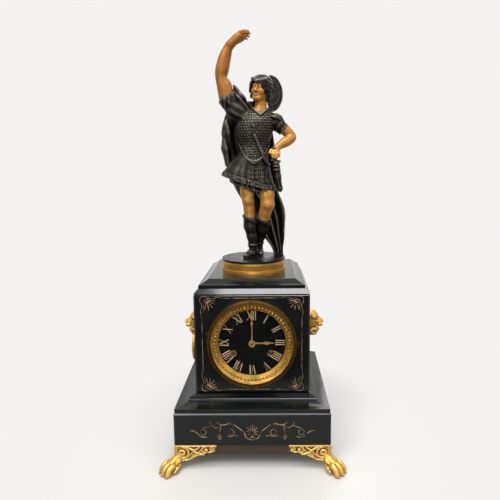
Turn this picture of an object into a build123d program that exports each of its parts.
from build123d import *
import math
import os

# A mantel clock in polished black slate with a cast soldier standing on a drum.
# Millimetres. +Z is up, the dial faces -Y, and the origin is on the table,
# under the middle of the plinth. The back of the case is flat.

# Slate case
plinth_width = 254.0
plinth_depth = 233.0
plinth_height = 54.4
sole_height = 19.0
sole_inset = 6.0
sole_lift = 23.0
moulding_height = 19.2
case_width = 191.0
case_height = 169.3
slab = 17.0
bevel_rise = 7.2
bevel_run = 7.6
cap_band = 5.7
cap_slope_rise = 7.9
cap_slope_run = 14.6
plinth_arris = 1.8
case_arris = 3.0
pendulum_slot = 90.0

# Moulding between plinth and case
fillet_inset = 2.8
fillet_height = 2.0
edge_inset = 1.5
edge_height = 5.2
slope_sag = 0.9
shoulder_out = 10.8
shoulder_up = 10.8
ledge_out = 9.0
ledge_up = 16.8

# Paw feet
wing_length = 68.0
wing_thickness = 5.4
wing_drop = 26.0
paw_reach = 27.0
paw_width = 30.0
paw_height = 15.0
foot_screw_radius = 2.0

# Lion masks and their ring
mask_height = 50.0
mask_width = 40.0
mask_reach = 35.5
mask_plate = 5.0
mask_up = 89.0
mouth_out = 15.5
mouth_drop = 16.0
mouth_radius = 4.6
ring_radius = 26.0
ring_wire = 3.0
ring_sit = 0.7

# Dial, bezel and doors
bezel_radius = 74.0
bezel_depth = 11.2
bezel_lip = 3.4
door_thickness = 2.6
flange_radius = 71.5
flange_thickness = 2.0
hole_radius = 66.0
sleeve_wall = 4.7
sleeve_length = 27.0
dial_radius = 61.5
dial_thickness = 4.0
dial_setback = 1.5
dial_up = 2.6
dial_view_radius = 55.6
dial_ledge = 4.0
glass_thickness = 4.0
glass_bevel = 9.0
glass_gap = 9.0
sight_wall = 1.4
hinge_barrel = 2.2
hinge_pin = 1.0
hinge_half = 9.0
knuckle_half = 3.9

# Hands
hour_reach = 37.0
minute_reach = 54.0
hand_thickness = 0.8
hour_lift = 1.8
minute_lift = 4.4
boss_radius = 5.4
boss_height = 2.6
winding_spread = 31.0
winding_drop = 18.5
grommet_bore = 4.5
grommet_wall = 0.5
grommet_rim = 0.5

# Movement
plate_radius = 60.0
plate_thickness = 2.5
plate_gap = 37.0
motion_gap = 11.0
pillar_radius = 3.0
pillar_circle = 53.0
pillar_angles = (10, 60, 120, 170, 270)
barrel_radius = 21.0
barrel_wall = 1.4
barrel_height = 22.0
barrel_teeth = 80
barrel_module = 0.55
winding_arbor = 3.0
winding_square = 4.2
spring_strip = 0.5
spring_turns = 6
wheel_thickness = 1.5
second_pinion = 10
second_teeth = 70
second_module = 0.50
centre_pinion = 10
centre_teeth = 96
centre_module = 0.38
third_pinion = 8
third_teeth = 84
third_module = 0.36
third_angle = 130.0
escape_pinion = 8
escape_teeth = 36
escape_radius = 9.5
anchor_lift = 13.0
cannon_teeth = 12
minute_teeth = 36
cannon_module = 0.50
minute_pinion = 10
hour_teeth = 40
fine_arbor = 0.8
second_arbor = 0.9
centre_arbor = 1.5
cannon_pipe = 2.6
hour_pipe = 3.9
hammer_arbor = 1.5
hammer_x = -44.0
hammer_up = 16.0
hammer_head = 4.0
hammer_angle = 120.0
bell_radius = 36.0
bell_wall = 1.6
bell_depth = 22.0
bell_stand_radius = 2.5
pendulum_length = 156.5
pendulum_rod = 1.5
bob_radius = 20.0
bob_thickness = 12.0
cock_standoff = 12.6
suspension_slit = 0.6
strap_radius = 1.5

# Drum and figure
drum_radius = 59.1
drum_band_height = 17.8
drum_foot = 3.6
drum_wall = 5.0
drum_plate = 4.0
drum_lip = 0.6
stud_radius = 4.0
nut_radius = 9.0
nut_height = 7.0
cloak_thickness = 9.0

# Clearances
running = 0.05
easy = 0.3
pallet_clear = 0.9

# Levels and faces that follow from the sizes above
sole_bottom = sole_lift
plinth_bottom = sole_bottom + sole_height
plinth_top = plinth_bottom + plinth_height
case_bottom = plinth_top + moulding_height
case_top = case_bottom + case_height
cap_bottom = case_top + bevel_rise
cap_shoulder = cap_bottom + cap_band
cap_top = cap_shoulder + cap_slope_rise
drum_top = cap_top + drum_foot + drum_band_height
half_plinth = plinth_width / 2
half_case = case_width / 2
step_out = half_plinth - half_case
plinth_front = -plinth_depth / 2
back = plinth_depth / 2
case_front_y = plinth_front + step_out
dial_z = case_bottom + case_height / 2 + dial_up
mask_y = (case_front_y + back) / 2
mask_z = case_bottom + mask_up
figure_y = (case_front_y + bevel_run + cap_slope_run + back) / 2
dial_face = case_front_y + dial_setback
dial_back = dial_face + dial_thickness
plate_front = dial_back + motion_gap
plate_inner = plate_front + plate_thickness
rear_inner = plate_inner + plate_gap
rear_outer = rear_inner + plate_thickness
bezel_rear = case_front_y - flange_thickness - easy
bezel_face = bezel_rear - bezel_depth
glass_rear = dial_face - glass_gap
glass_front = glass_rear - glass_thickness
hinge_x = bezel_radius + hinge_barrel + 2 * running + easy
hinge_rise = flange_thickness + hinge_barrel + 4 * running
pendulum_y = rear_outer + cock_standoff + 5.5


def block(x0, x1, y0, y1, z0, z1):
    centre = Pos((x0 + x1) / 2, (y0 + y1) / 2, (z0 + z1) / 2)
    return centre * Box(x1 - x0, y1 - y0, z1 - z0)


def group(pieces):
    return Compound([solid for piece in pieces for solid in piece.solids()])


def rod_y(radius, y0, y1, x=0.0, z=0.0):
    return Pos(x, (y0 + y1) / 2, z) * Rot(90, 0, 0) * Cylinder(radius, y1 - y0)


def tube_y(outer, inner, y0, y1, x=0.0, z=0.0):
    return rod_y(outer, y0, y1, x, z) - rod_y(inner, y0 - 1, y1 + 1, x, z)


def turned(points, x=0.0, z=0.0):
    # points are (radius, y), turned about an axis along Y
    outline = make_face(Polyline(*points, close=True))
    return Pos(x, 0, z) * revolve(outline, Axis.Y)


def outline_y(points, y0, y1, x=0.0, z=0.0):
    # a flat outline in X and Z, given a thickness along Y
    face = Plane.XZ * make_face(Polyline(*points, close=True))
    return Pos(x, y1, z) * extrude(face, y1 - y0)


def profile_edges(profile, place):
    # a run of points, where a pair of points is an arc through the first to the second
    edges = []
    here = place(*profile[0])
    for item in profile[1:]:
        if isinstance(item[0], tuple):
            middle, end = place(*item[0]), place(*item[1])
            edges.append(ThreePointArc(here, middle, end))
        else:
            end = place(*item)
            edges.append(Line(here, end))
        here = end
    return edges


def mitred_slab(profile, side, front):
    # the same edge profile on the front and both sides, mitred, with a plain flat back;
    # the profile is (distance out from the face, height)
    low = profile[0]
    high = profile[-1][1] if isinstance(profile[-1][0], tuple) else profile[-1]
    right = profile_edges(profile, lambda out, up: (side + out, up))
    left = profile_edges(profile, lambda out, up: (-side - out, up))
    foot = Line((-side - low[0], low[1]), (side + low[0], low[1]))
    head = Line((-side - high[0], high[1]), (side + high[0], high[1]))
    across = extrude(Plane.XZ * make_face(right + left + [foot, head]), plinth_depth, both=True)
    nose = profile_edges(profile, lambda out, up: (front - out, up))
    foot = Line((front - low[0], low[1]), (back, low[1]))
    rear = Line((back, low[1]), (back, high[1]))
    head = Line((back, high[1]), (front - high[0], high[1]))
    along = extrude(Plane.YZ * make_face(nose + [foot, rear, head]), plinth_width, both=True)
    return across & along


def slab_box(half, front, low, high, arris):
    # an outer block with small bevels on the edges of its front and sides
    whole = block(-half, half, front, back, low, high)
    edges = [e for e in whole.edges() if e.center().Y < back - 1]
    return chamfer(edges, arris)


def split_slabs(whole, half, front, low, high):
    # a block parted into front, rear and two side slabs round a hollow middle
    inner = half - slab
    front_slab = whole & block(-half, half, front, front + slab, low, high)
    rear_slab = whole & block(-half, half, back - slab, back, low, high)
    sides = []
    for sign in (-1, 1):
        reach = sorted((sign * inner, sign * half))
        sides.append(whole & block(reach[0], reach[1], front + slab, back - slab, low, high))
    return front_slab, rear_slab, group(sides)


def make_case():
    sole = block(-half_plinth + sole_inset, half_plinth - sole_inset, plinth_front + sole_inset,
                 back - sole_inset, sole_bottom, plinth_bottom)
    plinth = slab_box(half_plinth, plinth_front, plinth_bottom, plinth_top, plinth_arris)
    plinth_parts = split_slabs(plinth, half_plinth, plinth_front, plinth_bottom, plinth_top)

    edge = step_out - edge_inset
    edge_top = fillet_height + edge_height
    middle = ((edge + shoulder_out) / 2, (edge_top + shoulder_up) / 2 - slope_sag)
    lift = 0.62 * (ledge_up - shoulder_up)
    profile = [
        (step_out - fillet_inset, 0), (step_out - fillet_inset, fillet_height),
        (edge, fillet_height), (edge, edge_top),
        (middle, (shoulder_out, shoulder_up)),
        ((shoulder_out - 0.3, shoulder_up + 0.6 * lift), (ledge_out, shoulder_up + lift)),
        (ledge_out, ledge_up), (0, moulding_height),
    ]
    moulding = Pos(0, 0, plinth_top) * mitred_slab(profile, half_case, case_front_y)
    slot_half = pendulum_slot / 2
    moulding -= block(-slot_half, slot_half, pendulum_y - slot_half, pendulum_y + slot_half,
                      plinth_top - 1, case_bottom + 1)

    walls = slab_box(half_case, case_front_y, case_bottom, case_top, case_arris)
    front, rear, sides = split_slabs(walls, half_case, case_front_y, case_bottom, case_top)
    front -= rod_y(hole_radius, case_front_y - 1, case_front_y + slab + 1, 0, dial_z)
    rear -= rod_y(hole_radius, back - slab - 1, back + 1, 0, dial_z)

    bevel = [(0, case_top), (-bevel_run, cap_bottom)]
    top = mitred_slab(bevel, half_case, case_front_y)
    high = -bevel_run - cap_slope_run
    sag = (-bevel_run - 0.56 * cap_slope_run, cap_shoulder + 0.44 * cap_slope_rise)
    cap_profile = [(-bevel_run, cap_bottom), (-bevel_run, cap_shoulder), (sag, (high, cap_top))]
    cap = mitred_slab(cap_profile, half_case, case_front_y)
    stud_hole = Pos(0, figure_y, cap_top) * Cylinder(stud_radius + easy, 80)
    return {
        "sole_board": sole, "plinth_front": plinth_parts[0], "plinth_rear": plinth_parts[1],
        "plinth_sides": plinth_parts[2], "base_moulding": moulding, "case_front": front,
        "case_rear": rear, "case_sides": sides, "top_slab": top - stud_hole,
        "cap_block": cap - stud_hole,
    }


def wing():
    # a pierced bracket leaf along +X from the corner, hanging from z = 0, outer face at y = 0
    tip = wing_length
    leaf = make_face([
        Line((0, 0), (tip, 0)),
        ThreePointArc((tip, 0), (tip * 0.99, -wing_drop * 0.32), (tip * 0.86, -wing_drop * 0.42)),
        ThreePointArc((tip * 0.86, -wing_drop * 0.42), (tip * 0.70, -wing_drop * 0.40),
                      (tip * 0.58, -wing_drop * 0.62)),
        ThreePointArc((tip * 0.58, -wing_drop * 0.62), (tip * 0.42, -wing_drop * 1.02),
                      (tip * 0.20, -wing_drop)),
        Line((tip * 0.20, -wing_drop), (0, -wing_drop * 0.92)),
        Line((0, -wing_drop * 0.92), (0, 0)),
    ])
    return extrude(Plane.XZ * leaf, -wing_thickness)


def make_foot():
    # front left foot: two wings in the recess under the plinth and a paw set on the diagonal
    corner = Pos(-half_plinth, plinth_front, plinth_bottom)
    along_front = corner * wing()
    along_side = corner * mirror(wing(), Plane((0, 0, 0), z_dir=(1, -1, 0)))
    out = Vector(-1, -1, 0).normalized()
    across = Vector(1, -1, 0).normalized()
    knee = Vector(-half_plinth, plinth_front, 0)
    stations = [
        (knee - out * 16, plinth_bottom - easy, 13.0, 9.0),
        (knee - out * 6, plinth_bottom * 0.62, 12.5, 9.5),
        (knee + out * 3, plinth_bottom * 0.34, 10.5, 8.5),
        (knee + out * 9, paw_height * 0.55, 11.0, 8.0),
    ]
    sections = []
    for spot, up, wide, deep in stations:
        plane = Plane((spot.X, spot.Y, up), x_dir=(across.X, across.Y, 0), z_dir=(0, 0, 1))
        sections.append(plane * Ellipse(wide, deep))
    foot = along_front + along_side + loft(sections)
    toe_radius = paw_height / 2
    toe_pitch = (paw_width - 2 * toe_radius * 0.75) / 3
    for number in range(4):
        shift = (number - 1.5) * toe_pitch
        reach = paw_reach - toe_radius - 0.55 * abs(number - 1.5) ** 2
        start = knee + across * shift * 0.85 + out * 4
        end = knee + across * shift + out * reach
        heel = Pos(start.X, start.Y, toe_radius * 0.9) * Sphere(toe_radius * 0.9)
        toe = Pos(end.X, end.Y, toe_radius * 0.88) * Sphere(toe_radius * 0.88)
        axis = Plane((start.X, start.Y, toe_radius * 0.88), z_dir=(end - start))
        bone = extrude(axis * Circle(toe_radius * 0.86), (end - start).length)
        foot += heel + toe + bone
    # flat underside to stand on
    floor_cut = block(-plinth_width, plinth_width, -plinth_width, plinth_width, -50, 0)
    pad = Pos(knee.X + out.X * 14, knee.Y + out.Y * 14, 1.0) * Cylinder(paw_width * 0.42, 2.0)
    foot = foot + pad - floor_cut
    # the board and the plinth above stay clear
    board = block(-half_plinth + sole_inset, half_plinth, plinth_front + sole_inset, back,
                  sole_bottom, plinth_bottom)
    above = block(-plinth_width, plinth_width, -plinth_width, plinth_width,
                  plinth_bottom, plinth_bottom + 50)
    return foot - board - above


def make_feet():
    front_left = make_foot()
    front_right = mirror(front_left, Plane.YZ)
    feet = [front_left, front_right]
    feet += [mirror(foot, Plane.XZ) for foot in (front_left, front_right)]
    screws = []
    for sx in (-1, 1):
        for sy in (-1, 1):
            x = sx * (half_plinth - sole_inset - 14)
            y = sy * (plinth_depth / 2 - sole_inset - 14)
            head = Pos(x, y, sole_bottom - 1.0) * Cylinder(foot_screw_radius * 2, 2.0)
            screws.append(head)
    return group(feet), group(screws)


def make_mask():
    # right-hand mask: +X is out of the case side, the mouth is bored through along Y
    half_w, half_h = mask_width / 2, mask_height / 2

    def snout(stations):
        # oval sections facing out of the case: (distance out, height, half width, half height)
        return loft([Plane((out, 0, up), x_dir=(0, 1, 0), z_dir=(1, 0, 0)) * Ellipse(wide, tall)
                     for out, up, wide, tall in stations])

    mask = snout([(0, 0, half_w * 0.86, half_h * 0.94), (mask_plate, 0, half_w, half_h),
                  (mask_plate + 6, 2, half_w * 0.86, half_h * 0.80),
                  (mask_plate + 14, 4, half_w * 0.66, half_h * 0.58),
                  (mask_plate + 19, 3, half_w * 0.50, half_h * 0.42)])
    mask += snout([(mask_plate, 0, 11.0, 11.0), (mask_reach * 0.62, -1.5, 10.5, 9.0),
                   (mask_reach * 0.86, -1.5, 9.0, 7.5), (mask_reach, 0, 6.0, 4.5)])
    mask += snout([(0, -mouth_drop - 5, 9.0, 6.0), (mouth_out, -mouth_drop - 6.5, 7.0, 4.0),
                   (mouth_out + 7, -mouth_drop - 5.0, 4.5, 3.0)])
    mask -= rod_y(mouth_radius, -half_w - 5, half_w + 5, mouth_out, -mouth_drop)
    return Pos(half_case, mask_y, mask_z) * mask


def make_ring():
    # the ring hangs through the left-hand mask's mouth, resting near the lower jaw
    x = -half_case - mouth_out
    pivot = mask_z - mouth_drop - ring_sit
    return Pos(x, mask_y, pivot - ring_radius) * Rot(0, 90, 0) * Torus(ring_radius, ring_wire)


def fixed_knuckles(sign, face):
    # leaf, two barrels and the pin; sign is +1 when the door opens towards -Y
    axis_y = face - sign * hinge_rise
    leaf_y = sorted((face, face - sign * flange_thickness))
    leaf = block(flange_radius - 4, hinge_x + hinge_barrel, leaf_y[0], leaf_y[1],
                 dial_z - hinge_half, dial_z + hinge_half)
    pin = Pos(hinge_x, axis_y, dial_z) * Cylinder(hinge_pin, 2 * hinge_half)
    parts = leaf + pin
    for end in (-1, 1):
        low, high = sorted((end * (knuckle_half + easy), end * hinge_half))
        middle = dial_z + (low + high) / 2
        parts += Pos(hinge_x, axis_y, middle) * Cylinder(hinge_barrel, high - low)
        web = sorted((axis_y, face - sign * flange_thickness / 2))
        parts += block(hinge_x - 1.5, hinge_x + 1.5, web[0], web[1], dial_z + low, dial_z + high)
    return parts


def door_knuckle(sign, face):
    axis_y = face - sign * hinge_rise
    barrel = Pos(hinge_x, axis_y, dial_z) * Cylinder(hinge_barrel, 2 * knuckle_half)
    tab = block(bezel_radius - bezel_lip, hinge_x, axis_y - 1.2, axis_y + 1.2,
                dial_z - knuckle_half, dial_z + knuckle_half)
    bore = Pos(hinge_x, axis_y, dial_z) * Cylinder(hinge_pin + running, 4 * hinge_half)
    return barrel + tab - bore


def make_dial():
    sleeve = hole_radius - easy
    inner = sleeve - sleeve_wall
    seat = dial_radius + easy
    rear = case_front_y + sleeve_length
    front = case_front_y - flange_thickness
    dial_ring = turned([
        (seat, front), (flange_radius, front), (flange_radius, case_front_y),
        (sleeve, case_front_y), (sleeve, rear), (inner, rear), (inner, plate_front),
        (dial_radius - dial_ledge, plate_front), (dial_radius - dial_ledge, dial_back),
        (seat, dial_back),
    ], z=dial_z)
    dial_ring += fixed_knuckles(1, case_front_y)
    for side in (-1, 1):
        x = side * (sleeve - sleeve_wall / 2)
        dial_ring -= rod_y(strap_radius + running, rear - 8, rear + 1, x, dial_z)

    glass_radius = bezel_radius - bezel_lip
    bezel = turned([
        (glass_radius + easy, bezel_rear), (bezel_radius - 1.2, bezel_rear),
        (bezel_radius, bezel_rear - 1.5), (bezel_radius, bezel_face + 5.0),
        (bezel_radius - 2.4, bezel_face), (glass_radius - 1.6, bezel_face),
        (glass_radius - 1.6, glass_front), (glass_radius + easy, glass_front),
    ], z=dial_z)
    lug_angle = math.radians(166)
    lug = block(bezel_radius - 1.5, bezel_radius + 3.0, bezel_rear - 5.0, bezel_rear - 2.0, -2.2, 2.2)
    bezel += Pos(0, 0, dial_z) * Rot(0, -math.degrees(lug_angle), 0) * lug
    bezel += door_knuckle(1, case_front_y)

    glass = turned([
        (0, glass_rear), (glass_radius, glass_rear), (glass_radius, glass_front + 1.0),
        (glass_radius - 1.6, glass_front + 0.7), (glass_radius - glass_bevel, glass_front),
        (0, glass_front),
    ], z=dial_z)
    sight_rear = dial_face - easy
    sight_ring = turned([
        (glass_radius, glass_rear), (glass_radius, glass_rear + sight_wall),
        (seat - 5 * easy, bezel_rear), (dial_view_radius + 2 * sight_wall, sight_rear),
        (dial_view_radius, sight_rear),
        (dial_view_radius, sight_rear - 1.0), (glass_radius - 3.0, glass_rear),
    ], z=dial_z)

    dial = rod_y(dial_radius, dial_face, dial_back, 0, dial_z)
    dial -= rod_y(hour_pipe + easy, dial_face - 1, dial_back + 1, 0, dial_z)
    grommets = []
    tube = grommet_bore + grommet_wall
    for side in (-1, 1):
        x, z = side * winding_spread, dial_z - winding_drop
        dial -= rod_y(tube + running, dial_face - 1, dial_back + 1, x, z)
        rim = tube_y(tube + grommet_rim, grommet_bore, dial_face - 0.6, dial_face, x, z)
        rim += tube_y(tube, grommet_bore, dial_face - 0.6, dial_back, x, z)
        grommets.append(rim)
    return {
        "dial_ring": dial_ring, "bezel": bezel, "bezel_glass": glass, "sight_ring": sight_ring,
        "dial": dial, "winding_grommets": group(grommets),
    }


def make_hands():
    # at three o'clock: the long hand is upright and the short hand points to +X
    def leaf(reach, bulb, bulb_half, tip_half, root_half):
        return [(0, root_half), (bulb - 5, root_half * 0.7), (bulb, bulb_half),
                (bulb + 5, root_half * 0.7), (reach * 0.80, tip_half), (reach, 0.25),
                (reach, -0.25), (reach * 0.80, -tip_half), (bulb + 5, -root_half * 0.7),
                (bulb, -bulb_half), (bulb - 5, -root_half * 0.7), (0, -root_half)]

    hour_y = dial_face - hour_lift
    minute_y = dial_face - minute_lift
    hour = outline_y(leaf(hour_reach, 24.0, 3.2, 1.4, 1.2), hour_y - hand_thickness, hour_y)
    hour += rod_y(hour_pipe + 1.2, hour_y - hand_thickness, hour_y)
    hour -= rod_y(hour_pipe + running, hour_y - 5, hour_y + 5)
    minute_points = [(-z, x) for x, z in leaf(minute_reach, 34.0, 2.2, 1.7, 1.1)]
    minute = outline_y(minute_points, minute_y - hand_thickness, minute_y)
    minute += rod_y(boss_radius, minute_y - boss_height, minute_y)
    minute -= rod_y(cannon_pipe + running, minute_y - 1.2, minute_y + 1)
    place = Pos(0, 0, dial_z)
    return {"hour_hand": place * hour, "minute_hand": place * minute}


def tooth_outline(teeth, module, phase, leaf=False):
    # flat-sided teeth: slim pinion leaves, and wheel teeth that taper to an ogive
    pitch = 2 * math.pi / teeth
    radius = teeth * module / 2
    if leaf:
        steps = ((radius - 1.5 * module, 0.15), (radius, 0.16), (radius + 0.7 * module, 0.07))
    else:
        steps = ((radius - 1.3 * module, 0.25), (radius, 0.21), (radius + 0.55 * module, 0.15),
                 (radius + module, 0.06))
    points = []
    for number in range(teeth):
        centre = phase + number * pitch
        left = [(r, centre - share * pitch) for r, share in steps]
        right = [(r, centre + share * pitch) for r, share in reversed(steps)]
        points += [(r * math.cos(a), r * math.sin(a)) for r, a in left + right]
    return points


def meshing_phase(teeth, phase, other_teeth, direction):
    # phase that puts a gap of the other wheel over a tooth of this one, on the line of centres
    pitch = 2 * math.pi / teeth
    offset = ((direction - phase) / pitch) % 1.0
    return direction + math.pi + (2 * offset + 1) * math.pi / other_teeth


def spot(radius, angle):
    return radius * math.cos(angle), radius * math.sin(angle)


def train_places():
    # arbor places in X and Z from the dial centre, set by the pitch radii
    barrel = (winding_spread, -winding_drop)
    first = barrel_module * (barrel_teeth + second_pinion) / 2
    second = second_module * (second_teeth + centre_pinion) / 2
    reach = math.hypot(*barrel)
    lean = math.acos((second**2 + reach**2 - first**2) / (2 * second * reach))
    second_at = spot(second, math.atan2(barrel[1], barrel[0]) + lean)
    third_at = spot(centre_module * (centre_teeth + third_pinion) / 2, math.radians(third_angle))
    last = third_module * (third_teeth + escape_pinion) / 2
    escape_at = (0.0, third_at[1] + math.sqrt(last**2 - third_at[0]**2))
    anchor_at = (0.0, escape_at[1] + anchor_lift)
    motion = cannon_module * (cannon_teeth + minute_teeth) / 2
    minute_at = (-motion, 0.0)
    return {"barrel": barrel, "strike": (-barrel[0], barrel[1]), "second": second_at,
            "centre": (0.0, 0.0), "third": third_at, "escape": escape_at, "anchor": anchor_at,
            "minute": minute_at, "hammer": (hammer_x, hammer_up)}


def aim(start, end):
    return math.atan2(end[1] - start[1], end[0] - start[0])


def make_train():
    at = train_places()
    great_low = plate_inner + 4.0 + barrel_height
    great_high = great_low + 2.5
    second_low = plate_inner + 1.6
    centre_low = great_high + 2.0
    third_low = plate_inner + 16.0
    escape_low = rear_inner - 3.4
    front_end = plate_front
    rear_end = rear_outer
    parts = {}

    barrel_phase = aim(at["barrel"], at["second"])
    for name, place in (("going", at["barrel"]), ("strike", at["strike"])):
        teeth = outline_y(tooth_outline(barrel_teeth, barrel_module, barrel_phase),
                          great_low, great_high)
        drum = rod_y(barrel_radius, great_low - barrel_height, great_low + 1.0)
        hollow = rod_y(barrel_radius - barrel_wall, great_low - barrel_height + barrel_wall, great_low)
        bore = rod_y(winding_arbor + running, great_low - barrel_height - 1, great_high + 1)
        move = Pos(place[0], 0, dial_z + place[1])
        parts[name + "_barrel"] = move * (teeth + drum - hollow - bore)
        coil = spring_coil(great_low - barrel_height + barrel_wall + easy, great_low - easy)
        parts[name + "_spring"] = move * coil
        arbor = rod_y(winding_arbor, front_end - 4.0, rear_end)
        square_half = winding_square / 2
        arbor += block(-square_half, square_half, dial_face + 1.0, front_end - 3.0,
                       -square_half, square_half)
        parts[name + "_arbor"] = move * arbor

    def arbor_set(name, radius, pinion, wheel, ends):
        # pinion and wheel are (teeth, module, phase, low y, high y)
        move = Pos(at[name][0], 0, dial_z + at[name][1])
        leaves = outline_y(tooth_outline(*pinion[:3], leaf=True), pinion[3], pinion[4])
        teeth = outline_y(tooth_outline(*wheel[:3]), wheel[3], wheel[4])
        return move * (leaves + teeth + rod_y(radius, *ends))

    phase = meshing_phase(barrel_teeth, barrel_phase, second_pinion, aim(at["barrel"], at["second"]))
    second_phase = aim(at["second"], at["centre"])
    parts["second_wheel"] = arbor_set(
        "second", second_arbor,
        (second_pinion, barrel_module, phase, great_low - 1.0, great_high + 1.0),
        (second_teeth, second_module, second_phase, second_low, second_low + wheel_thickness),
        (front_end, rear_end))

    phase = meshing_phase(second_teeth, second_phase, centre_pinion, aim(at["second"], at["centre"]))
    centre_phase = aim(at["centre"], at["third"])
    cannon_end = dial_face - minute_lift + hand_thickness
    parts["centre_wheel"] = arbor_set(
        "centre", centre_arbor,
        (centre_pinion, second_module, phase, second_low - 0.8, second_low + wheel_thickness + 0.8),
        (centre_teeth, centre_module, centre_phase, centre_low, centre_low + wheel_thickness),
        (cannon_end, rear_end))

    phase = meshing_phase(centre_teeth, centre_phase, third_pinion, aim(at["centre"], at["third"]))
    third_phase = aim(at["third"], at["escape"])
    parts["third_wheel"] = arbor_set(
        "third", fine_arbor,
        (third_pinion, centre_module, phase, centre_low - 0.8, centre_low + wheel_thickness + 0.8),
        (third_teeth, third_module, third_phase, third_low, third_low + wheel_thickness),
        (front_end, rear_end))

    phase = meshing_phase(third_teeth, third_phase, escape_pinion, aim(at["third"], at["escape"]))
    leaves = outline_y(tooth_outline(escape_pinion, third_module, phase, leaf=True),
                       third_low - 0.8, third_low + wheel_thickness + 0.8)
    pitch = 2 * math.pi / escape_teeth
    saw = []
    for number in range(escape_teeth):
        base = number * pitch
        saw.append(spot(escape_radius, base))
        saw.append(spot(escape_radius - 2.0, base + 0.16 * pitch))
        saw.append(spot(escape_radius - 2.0, base + 0.80 * pitch))
    wheel = outline_y(saw, escape_low, escape_low + 1.2)
    escape = leaves + wheel + rod_y(fine_arbor, front_end, rear_end)
    parts["escape_wheel"] = Pos(at["escape"][0], 0, dial_z + at["escape"][1]) * escape
    parts.update(make_motion_work(at))
    parts["pallets"] = make_pallets(at, escape_low)
    return parts


def spring_coil(low, high):
    # a flat strip wound as an even spiral between the arbor and the barrel wall
    inner = winding_arbor + running + easy + spring_strip
    outer = barrel_radius - barrel_wall - easy - spring_strip
    steps = spring_turns * 12
    rims = []
    for shift in (-spring_strip / 2, spring_strip / 2):
        rim = []
        for step in range(steps + 1):
            radius = inner + (outer - inner) * step / steps + shift
            rim.append(spot(radius, 2 * math.pi * spring_turns * step / steps))
        rims.append(rim)
    sides = [Spline(*rims[0]), Spline(*rims[1])]
    ends = [Line(rims[0][0], rims[1][0]), Line(rims[0][-1], rims[1][-1])]
    face = Plane.XZ * make_face(sides + ends)
    return Pos(0, high, 0) * extrude(face, high - low)


def make_motion_work(at):
    low = plate_front - 3.4
    high = plate_front - 1.0
    upper_low, upper_high = low - 3.0, low - 0.6
    minute_module = 2 * abs(at["minute"][0]) / (minute_pinion + hour_teeth)
    side = aim(at["minute"], at["centre"])
    pipe_end = dial_face - minute_lift - 1.0
    cannon = outline_y(tooth_outline(cannon_teeth, cannon_module,
                                     meshing_phase(minute_teeth, side, cannon_teeth, side), leaf=True),
                       low, plate_front - easy)
    cannon += rod_y(cannon_pipe, pipe_end, low)
    cannon -= rod_y(centre_arbor + running, pipe_end - 1, plate_front + 1)
    wheel = outline_y(tooth_outline(minute_teeth, cannon_module, side), low, high)
    wheel += outline_y(tooth_outline(minute_pinion, minute_module, side, leaf=True), upper_low, low)
    wheel -= rod_y(second_arbor + running, upper_low - 1, high + 1)
    hour_phase = meshing_phase(minute_pinion, side, hour_teeth, side)
    hour = outline_y(tooth_outline(hour_teeth, minute_module, hour_phase), upper_low, upper_high)
    hour += rod_y(hour_pipe, dial_face - hour_lift - hand_thickness - 0.4, upper_high)
    hour -= rod_y(cannon_pipe + running, pipe_end - 1, plate_front)
    lift = Pos(0, 0, dial_z)
    return {"cannon_pinion": lift * cannon, "hour_wheel": lift * hour,
            "minute_wheel": Pos(at["minute"][0], 0, dial_z) * wheel}


def make_pallets(at, escape_low):
    # anchor over the escape wheel, its arbor, and the crutch with two prongs round the rod
    low, high = escape_low - 0.4, escape_low + 1.6
    inside = escape_radius + pallet_clear
    bow = Circle(inside + 2.6) - Circle(inside)
    reach = inside + 6
    wedge = make_face(Polyline((0, 0), (reach, reach * 0.8), (0, reach * 2), (-reach, reach * 0.8),
                               close=True))
    bow = Pos(0, at["escape"][1]) * (bow & wedge)
    anchor = Pos(0, high, 0) * extrude(Plane.XZ * bow, high - low)
    anchor += block(-1.6, 1.6, low, high, at["escape"][1] + inside + 1, at["anchor"][1])
    rear = rear_outer + cock_standoff + plate_thickness
    anchor += rod_y(second_arbor, plate_front, rear, 0, at["anchor"][1])
    anchor += rod_y(2.6, low, high, 0, at["anchor"][1])
    crutch_low = rear_outer + 2.0
    drop = at["anchor"][1] - 42
    anchor += block(-1.5, 1.5, crutch_low, crutch_low + 1.8, drop, at["anchor"][1])
    prong_in = pendulum_rod + running
    prong_out = prong_in + 1.6
    anchor += block(-prong_out, prong_out, crutch_low, crutch_low + 1.8, drop - 3, drop + 2)
    for side in (-1, 1):
        reach = sorted((side * prong_in, side * prong_out))
        anchor += block(reach[0], reach[1], crutch_low, pendulum_y + 2.0, drop - 3, drop + 2)
    return Pos(0, 0, dial_z) * anchor


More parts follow.
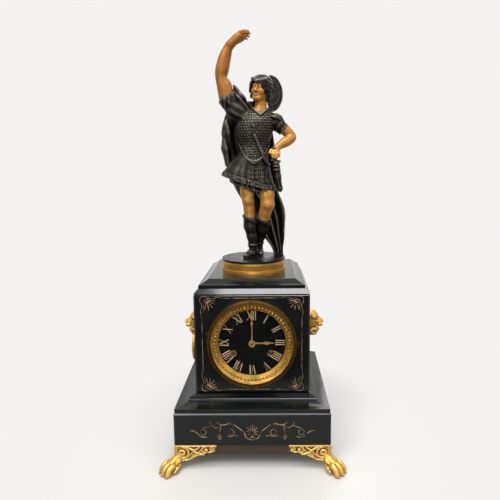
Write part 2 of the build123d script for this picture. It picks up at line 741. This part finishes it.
def make_frame():
    at = train_places()
    front = rod_y(plate_radius, plate_front, plate_inner)
    rear = rod_y(plate_radius, rear_inner, rear_outer)
    bores = {"barrel": winding_arbor, "strike": winding_arbor, "second": second_arbor,
             "centre": centre_arbor, "third": fine_arbor, "escape": fine_arbor,
             "anchor": second_arbor, "hammer": hammer_arbor}
    for name, radius in bores.items():
        x, z = at[name]
        front -= rod_y(radius + running, plate_front - 1, plate_inner + 1, x, z)
        rear -= rod_y(radius + running, rear_inner - 1, rear_outer + 1, x, z)
    front += rod_y(second_arbor, plate_front - 6.0, plate_front, at["minute"][0], 0)
    pillars = []
    for angle in pillar_angles:
        x, z = spot(pillar_circle, math.radians(angle))
        pillars.append(rod_y(pillar_radius, plate_inner, rear_inner, x, dial_z + z))

    # bracket behind the rear plate: pivot for the pallet arbor and jaws for the suspension spring
    anchor_z = at["anchor"][1]
    cock_low = rear_outer + cock_standoff
    cock = block(-16, 16, cock_low, cock_low + plate_thickness, anchor_z - 4, anchor_z + 12)
    for side in (-1, 1):
        cock += rod_y(2.4, rear_outer, cock_low, side * 13.0, anchor_z + 4)
        jaw = sorted((side * suspension_slit, side * 4.0))
        cock += block(jaw[0], jaw[1], cock_low, pendulum_y + 3.5, anchor_z + 0.4, anchor_z + 9)
    cock += block(-4, 4, cock_low, pendulum_y + 3.5, anchor_z + 5.5, anchor_z + 9)
    cock -= rod_y(second_arbor + running, cock_low - 1, cock_low + plate_thickness + 0.5, 0, anchor_z)

    strip = block(-0.15, 0.15, pendulum_y - 2.5, pendulum_y + 2.5, anchor_z - 9, anchor_z + 4.5)
    hook = block(-2.2, 2.2, pendulum_y - 3, pendulum_y + 3, anchor_z - 14, anchor_z - 8)
    bob_z = anchor_z - pendulum_length
    foot = bob_z - bob_radius - 6
    rod = Pos(0, pendulum_y, (foot + anchor_z - 13) / 2) * Cylinder(pendulum_rod, anchor_z - 13 - foot)
    half = bob_thickness / 2
    lens = turned([
        (0, pendulum_y - half), (bob_radius * 0.55, pendulum_y - half * 0.8),
        (bob_radius, pendulum_y - half * 0.25), (bob_radius, pendulum_y + half * 0.25),
        (bob_radius * 0.55, pendulum_y + half * 0.8), (0, pendulum_y + half),
    ], z=bob_z)
    lens -= Pos(0, pendulum_y, bob_z) * Cylinder(pendulum_rod + running, 3 * bob_radius)
    nut = Pos(0, pendulum_y, bob_z - bob_radius - 2.0) * Cylinder(4.0, 3.6)
    nut -= Pos(0, pendulum_y, bob_z) * Cylinder(pendulum_rod + running, 4 * bob_radius)
    lift = Pos(0, 0, dial_z)
    pendulum = group([lift * (strip + hook + rod), lift * lens, lift * nut])
    parts = {"front_plate": lift * front, "rear_plate": lift * rear, "back_cock": lift * cock,
             "plate_pillars": group(pillars), "pendulum": pendulum}
    parts.update(make_strike(at, lift))
    return parts


def make_strike(at, lift):
    mouth = pendulum_y + bob_thickness
    crown = mouth + bell_depth
    outer, wall = bell_radius, bell_wall
    profile = make_face([
        EllipticalCenterArc((0, mouth), outer, bell_depth, start_angle=0, arc_size=90),
        Line((0, crown), (0, crown - wall)),
        EllipticalCenterArc((0, mouth), outer - wall, bell_depth - wall, start_angle=0, arc_size=90),
        Line((outer - wall, mouth), (outer, mouth)),
    ])
    bell = revolve(profile, Axis.Y)
    bell -= rod_y(2.0 + running, mouth, crown + 1)
    stud_at = spot(bell_radius + bell_stand_radius + 5.0, math.radians(-42))
    stand = rod_y(bell_stand_radius, rear_outer, crown + 4.0, *stud_at)
    bar = Plane((stud_at[0], crown + 2.0, stud_at[1]), z_dir=(-stud_at[0], 0, -stud_at[1]))
    stand += extrude(bar * Rectangle(4.0, 4.0), math.hypot(*stud_at))
    stand += rod_y(4.0, crown, crown + 4.0) + rod_y(2.0, crown - 8.0, crown + 1.0)
    post = at["hammer"]
    centre = spot(bell_radius + hammer_head + easy, math.radians(hammer_angle))
    level = mouth + 4.0
    hammer = rod_y(hammer_arbor, plate_front, level + 2.0, *post)
    arm = Plane((post[0], level, post[1]), z_dir=(centre[0] - post[0], 0, centre[1] - post[1]))
    hammer += extrude(arm * Rectangle(3.0, 3.0), math.dist(post, centre))
    hammer += rod_y(hammer_head, level - 4.0, level + 4.0, *centre)
    return {"bell": lift * bell, "bell_stand": lift * stand, "hammer": lift * hammer}


def make_rear():
    sleeve = hole_radius - easy
    thin = 0.8
    face = back + flange_thickness
    ring = turned([
        (plate_radius - 1.0, back), (plate_radius - 1.0, face), (flange_radius, face),
        (flange_radius, back), (sleeve, back), (sleeve, back - slab + 2.0),
        (sleeve - thin, back - slab + 2.0), (sleeve - thin, back),
    ], z=dial_z)
    ring += fixed_knuckles(-1, back)
    lid_low = face + easy
    lid = rod_y(bezel_radius, lid_low, lid_low + door_thickness, 0, dial_z)
    lid += door_knuckle(-1, back)
    screws = []
    for side in (-1, 1):
        x = side * (sleeve - sleeve_wall / 2)
        ring -= rod_y(strap_radius + running, back - 1, face + 1, x, dial_z)
        screws.append(rod_y(strap_radius, case_front_y + sleeve_length - 6, back + 1.0, x, dial_z))
    return {"rear_ring": ring, "rear_door": lid, "strap_screws": group(screws)}


def limb(stations):
    # a smooth tapering limb: (point, radius across, radius deep) along its middle line
    points = [Vector(*s[0]) for s in stations]
    sections = []
    for number, (point, wide, deep) in enumerate(stations):
        ahead = points[min(number + 1, len(points) - 1)]
        behind = points[max(number - 1, 0)]
        run = (ahead - behind).normalized()
        side = Vector(0, 1, 0).cross(run).normalized()
        plane = Plane(Vector(*point), x_dir=side, z_dir=run)
        sections.append(plane * Ellipse(wide, deep))
    return loft(sections)


def level_loft(stations):
    # level oval sections: (height, centre x, centre y, half width, half depth, lean)
    sections = []
    for up, x, y, wide, deep, lean in stations:
        sections.append(Pos(x, y, up) * Rot(0, lean, 0) * Ellipse(wide, deep))
    return loft(sections)


def make_figure():
    # heights are above the drum, x and y are from its middle
    tunic = level_loft([
        (120, -6, 1, 47, 31, 14), (150, -5, 0, 41, 28, 10), (176, 0, -1, 31, 22, 4),
        (206, 2, -1, 26, 19, 0), (232, 5, -2, 32, 21, 0), (254, 9, -1, 33, 18, 0),
        (266, 13, -1, 20, 13, 0),
    ])
    tunic += limb([((-10, 1, 246), 19, 15), ((-30, 0, 266), 17, 14), ((-44, -1, 290), 14.5, 12)])
    tunic += limb([((34, 0, 250), 13, 12), ((44, 0, 246), 13, 12), ((54, 0, 236), 10.5, 10.5)])
    raised_arm = limb([
        ((-42, -1, 280), 12, 11.5), ((-46, -2, 302), 12, 11.5), ((-52, -5, 325), 10, 10),
        ((-47, -8, 349), 10.8, 10.5), ((-39, -12, 367), 8, 7.8), ((-31.5, -14, 378), 6.8, 6.4),
        ((-17, -17, 388.5), 8.5, 7), ((0, -20, 394), 4, 4.5),
    ])
    hip_arm = limb([
        ((50, 0, 239), 8.5, 8.5), ((62, 2, 230), 8.4, 8.4), ((71, 2, 220), 8, 8),
        ((60, -7, 211), 7.2, 7.2), ((47, -16, 202), 5.6, 5.6), ((41, -21, 192), 7, 5),
        ((38, -23, 184), 4, 4),
    ])
    neck = limb([((15, -1, 258), 11, 10), ((17, -3, 276), 9.5, 9.5), ((18, -3, 292), 10, 10)])
    head = neck + Pos(17.5, -4, 302) * scale(Sphere(1), by=(13, 16, 18.5))
    helmet = Pos(20, 1, 312) * Rot(0, 12, 0) * scale(Sphere(1), by=(19, 21, 18.5))
    helmet -= block(-40, 60, -60, -2, 260, 308) + block(-40, 60, -10, 60, 240, 296)
    helmet += limb([
        ((20, -8, 327), 3.5, 5), ((34, 6, 331), 6, 6), ((46, 14, 322), 8, 7), ((49, 17, 304), 8, 7),
        ((44, 19, 288), 6, 6), ((39, 19, 273), 3, 3),
    ])
    right_leg = limb([((-6, 0, 132), 16, 15), ((-8, -5, 104), 10.5, 11), ((-7, -5, 80), 11, 12)])
    left_leg = limb([((24, -3, 132), 15, 15), ((27, -12, 97), 10, 11), ((24, -8, 74), 10, 11.5)])
    right_boot = limb([((-7, -5, 80), 13, 13.5), ((-6, -3, 60), 12, 13), ((-2, 0, 22), 7.5, 8.5),
                       ((-1, -1, 2), 8, 10)])
    right_boot += limb([((1, 6, 8), 8, 8), ((-6, -10, 7), 8, 7), ((-12, -24, 5), 6, 4.5)])
    left_boot = limb([((24, -8, 74), 12, 13.5), ((20, 1, 55), 11, 12.5), ((11, 19, 26), 7, 8),
                      ((10, 22, 2), 7, 8)])
    left_boot += limb([((9, 28, 7), 6.5, 7), ((12, 16, 6.5), 6.5, 6.5), ((14, 6, 5), 5, 4.5)])
    cloak = level_loft([
        (2, 48, 21, 9, cloak_thickness, 0), (34, 40, 25, 19, cloak_thickness, 0),
        (74, 30, 29, 30, cloak_thickness, 0), (119, 6, 31, 42, cloak_thickness, 0),
        (175, -4, 29, 48, cloak_thickness, 0), (213, -6, 27, 50, cloak_thickness, 0),
        (248, -10, 21, 43, cloak_thickness, 0), (264, -4, 17, 30, 6, 0),
    ])
    scabbard = limb([((40, -26, 188), 3, 3), ((42, -26, 170), 5.5, 4), ((46, -22, 148), 5, 3.6),
                     ((50, -16, 124), 3.4, 2.6)])
    floor = block(-200, 200, -200, 200, -60, 0)
    tunic = tunic - neck - raised_arm - hip_arm
    legs = right_leg + left_leg - tunic
    boots = right_boot + left_boot - legs - floor
    helmet = helmet - head
    body = tunic + raised_arm + hip_arm + head + helmet
    cloak = cloak - body - legs - boots - floor
    scabbard = scabbard - tunic - hip_arm - legs
    pieces = {"tunic": tunic, "raised_arm": raised_arm, "hip_arm": hip_arm, "head": head,
              "helmet": helmet, "bare_legs": legs, "boots": boots, "cloak": cloak,
              "scabbard": scabbard}
    stand = Pos(0, figure_y, drum_top)
    return {name: stand * piece for name, piece in pieces.items()}


def make_drum():
    place = Pos(0, figure_y, 0)
    seat = drum_top - drum_plate
    foot_top = cap_top + drum_foot
    outer = drum_radius
    inner = outer - drum_wall
    profile = [
        (inner - 4, cap_top), (outer - 0.6, cap_top), (outer - 0.6, foot_top), (outer - 2.2, foot_top),
        (outer - 1.6, foot_top + 2.5), (outer, seat - 3.0), (outer, seat), (inner - 4, seat),
    ]
    band = revolve(Plane.XZ * make_face(Polyline(*profile, close=True)), Axis.Z)
    plate = Pos(0, 0, seat + drum_plate / 2) * Cylinder(outer - drum_lip, drum_plate)
    low = case_top - nut_height - 3.0
    stud = Pos(0, 0, (low + seat) / 2) * Cylinder(stud_radius, seat - low)
    nut = Pos(0, 0, case_top - nut_height) * extrude(RegularPolygon(nut_radius, 6), nut_height)
    nut -= Pos(0, 0, case_top) * Cylinder(stud_radius + running, 60)
    fixing = group([place * stud, place * nut])
    return {"drum_band": place * band, "drum_plate": place * plate, "fixing_stud": fixing}


def make_trim():
    feet, screws = make_feet()
    mask = make_mask()
    return {
        "paw_feet": feet, "foot_screws": screws,
        "right_mask": mask, "left_mask": mirror(mask, Plane.YZ), "left_ring": make_ring(),
    }


def main():
    os.makedirs("parts", exist_ok=True)
    nodes = {}
    for maker in (make_case, make_trim, make_dial, make_hands, make_train, make_frame, make_rear,
                  make_drum, make_figure):
        nodes.update(maker())
    for name, shape in nodes.items():
        export_step(shape, f"parts/{name}.step")


main()
